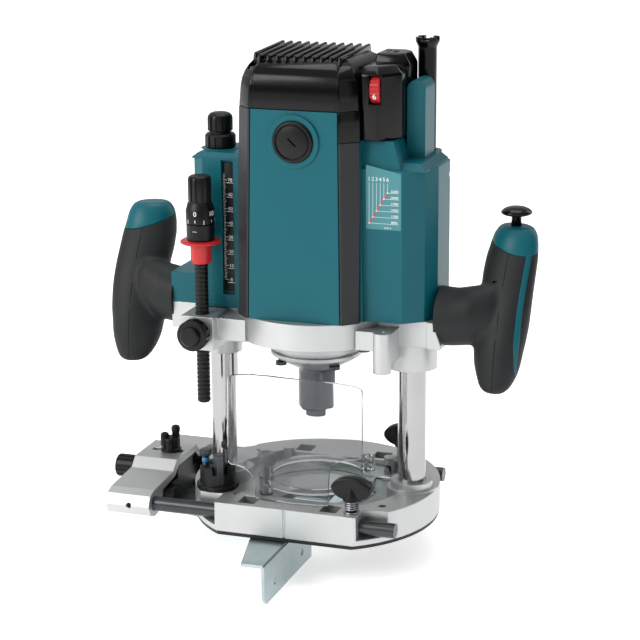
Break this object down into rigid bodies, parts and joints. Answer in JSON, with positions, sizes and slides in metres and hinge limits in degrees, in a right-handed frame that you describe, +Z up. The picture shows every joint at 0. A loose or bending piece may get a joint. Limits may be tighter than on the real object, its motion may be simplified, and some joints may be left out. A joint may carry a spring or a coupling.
{
  "type": "plunge router",
  "caption": "Hand-held plunge router on two guide posts with side grips, depth stop turret, clear chip guard and a straight edge guide on two rods.",
  "frame": {"origin": "on the spindle axis at the underside of the sole, where the router rests on the workpiece", "axes": "+Z up along the spindle, +X to the right-hand grip, -Y to the flat front edge of the base"},
  "size_m": [0.3001, 0.227, 0.356],
  "materials": {
    "teal_housing": "satin",
    "black_gloss": "gloss",
    "black_matte": "matte",
    "elastomer": "matte",
    "trim_grey": "satin",
    "cast_aluminium": "satin",
    "chromed_steel": "gloss",
    "bright_steel": "satin",
    "blackened_steel": "satin",
    "zinc_steel": "satin",
    "clear_plastic": "gloss",
    "red_plastic": "satin",
    "grey_plastic": "matte",
    "copper": "satin",
    "carbon": "matte",
    "board_green": "satin",
    "phenolic_black": "satin"
  },
  "bodies": {
    "base": {"base_casting": "cast_aluminium", "sole_plate": "phenolic_black", "sole_screws": "bright_steel", "post_left": "chromed_steel", "post_right": "chromed_steel", "plunge_spring": "blackened_steel", "height_screw": "blackened_steel", "dust_nozzle": "clear_plastic", "chip_deflector": "clear_plastic", "clamp_springs": "bright_steel"},
    "height_knob": {"height_knob": "black_matte"},
    "nozzle_screw": {"nozzle_screw": "grey_plastic"},
    "turret": {"stopper_turret": "black_matte", "turret_screws": "blackened_steel"},
    "clamp_front": {"clamp_knob_front": "black_gloss"},
    "clamp_rear": {"clamp_knob_rear": "black_gloss"},
    "motor_unit": {"motor_bracket": "cast_aluminium", "post_bushes": "copper", "bearing_retainer": "cast_aluminium", "bracket_screws": "blackened_steel", "motor_housing": "teal_housing", "corner_trims": "trim_grey", "top_cover": "black_gloss", "cover_screws": "blackened_steel", "dial_cover": "black_gloss", "scale_plate": "black_matte", "brush_caps": "black_matte", "brush_holders": "copper", "carbon_brushes": "carbon", "lower_bearing": "bright_steel", "upper_bearing": "bright_steel", "stator_core": "blackened_steel", "field_coils": "copper", "controller_board": "board_green", "cord_guard": "black_matte", "left_grip": "elastomer", "right_grip": "elastomer", "grip_caps": "teal_housing", "switch_body": "black_matte"},
    "lock_button": {"lock_button": "black_gloss"},
    "trigger": {"switch_trigger": "black_gloss"},
    "plunge_lever": {"plunge_lock_lever": "black_matte"},
    "shaft_lock": {"shaft_lock": "black_matte"},
    "pole": {"stopper_pole": "black_matte"},
    "pointer": {"depth_pointer": "red_plastic"},
    "depth_knob": {"depth_knob": "black_matte"},
    "pole_clamp": {"pole_clamp_knob": "black_matte"},
    "speed_dial": {"speed_dial": "red_plastic"},
    "spindle": {"spindle_shaft": "bright_steel", "armature_core": "blackened_steel", "commutator": "copper", "cooling_fan": "black_matte", "collet_cone": "bright_steel", "collet_nut": "blackened_steel"},
    "guide": {"guide_holder": "cast_aluminium", "guide_rods": "blackened_steel"},
    "fine_knob": {"fine_knob": "black_matte"},
    "fence": {"fence_slider": "black_matte", "fence_plate": "zinc_steel"},
    "fence_bolt": {"fence_wing_bolt": "black_matte"}
  },
  "joints": [
    {"name": "plunge", "type": "slide", "parent": "base", "child": "motor_unit", "axis": [0, 0, 1], "range_m": [-0.0295, 0], "stiffness_N_per_m": 450, "springref_m": 0.17, "deforming": ["plunge_spring"]},
    {"name": "spindle_spin", "type": "hinge", "parent": "motor_unit", "child": "spindle", "pos_m": [0, 0, 0.1], "axis": [0, 0, 1], "continuous": true},
    {"name": "height_knob_turn", "type": "hinge", "parent": "base", "child": "height_knob", "pos_m": [-0.068, 0, 0.262], "axis": [0, 0, 1], "range_deg": [-1080, 1080]},
    {"name": "nozzle_screw_turn", "type": "hinge", "parent": "base", "child": "nozzle_screw", "pos_m": [-0.0305, -0.019, 0.038], "axis": [0, 0, 1], "range_deg": [0, 1080]},
    {"name": "turret_turn", "type": "hinge", "parent": "base", "child": "turret", "pos_m": [-0.0589, -0.0392, 0.03], "axis": [0, 0, 1], "continuous": true},
    {"name": "clamp_front_turn", "type": "hinge", "parent": "base", "child": "clamp_front", "pos_m": [0.0443, -0.059, 0.035], "axis": [0, 0, 1], "range_deg": [0, 720]},
    {"name": "clamp_rear_turn", "type": "hinge", "parent": "base", "child": "clamp_rear", "pos_m": [0.0443, 0.059, 0.035], "axis": [0, 0, 1], "range_deg": [0, 720]},
    {"name": "lock_press", "type": "slide", "parent": "motor_unit", "child": "lock_button", "axis": [0, 0, -1], "range_m": [0, 0.004], "stiffness_N_per_m": 300, "springref_m": -0.004},
    {"name": "trigger_pull", "type": "slide", "parent": "motor_unit", "child": "trigger", "axis": [0, -1, 0], "range_m": [0, 0.006], "stiffness_N_per_m": 300, "springref_m": -0.006},
    {"name": "plunge_lock", "type": "hinge", "parent": "motor_unit", "child": "plunge_lever", "pos_m": [-0.06, 0.027, 0.1365], "axis": [0, 1, 0], "range_deg": [-25, 15]},
    {"name": "shaft_lock_press", "type": "slide", "parent": "motor_unit", "child": "shaft_lock", "axis": [0, -1, 0], "range_m": [0, 0.004], "stiffness_N_per_m": 400, "springref_m": -0.004},
    {"name": "pole_slide", "type": "slide", "parent": "motor_unit", "child": "pole", "axis": [0, 0, 1], "range_m": [0, 0.035]},
    {"name": "pointer_slide", "type": "slide", "parent": "pole", "child": "pointer", "axis": [0, 0, 1], "range_m": [-0.033, 0]},
    {"name": "depth_knob_turn", "type": "hinge", "parent": "pole", "child": "depth_knob", "pos_m": [-0.0675, -0.04, 0.225], "axis": [0, 0, 1], "range_deg": [-1080, 1080]},
    {"name": "pole_clamp_turn", "type": "hinge", "parent": "motor_unit", "child": "pole_clamp", "pos_m": [-0.067, -0.06, 0.1345], "axis": [0, 1, 0], "range_deg": [0, 720]},
    {"name": "speed_dial_turn", "type": "hinge", "parent": "motor_unit", "child": "speed_dial", "pos_m": [0.0505, -0.021, 0.2995], "axis": [1, 0, 0], "range_deg": [-300, 0]},
    {"name": "guide_slide", "type": "slide", "parent": "base", "child": "guide", "axis": [1, 0, 0], "range_m": [-0.09, 0.004]},
    {"name": "fence_slide", "type": "slide", "parent": "guide", "child": "fence", "axis": [1, 0, 0], "range_m": [-0.006, 0.005]},
    {"name": "fine_knob_turn", "type": "hinge", "parent": "guide", "child": "fine_knob", "pos_m": [-0.144, 0, 0.0155], "axis": [1, 0, 0], "range_deg": [-1500, 1500]},
    {"name": "fence_bolt_turn", "type": "hinge", "parent": "fence", "child": "fence_bolt", "pos_m": [-0.11, 0, 0.035], "axis": [0, 0, 1], "range_deg": [0, 720]}
  ],
  "couplings": [
    {"joint": "fine_knob_turn", "follows": "fence_slide", "rad_per_m": 4188.8}
  ]
}
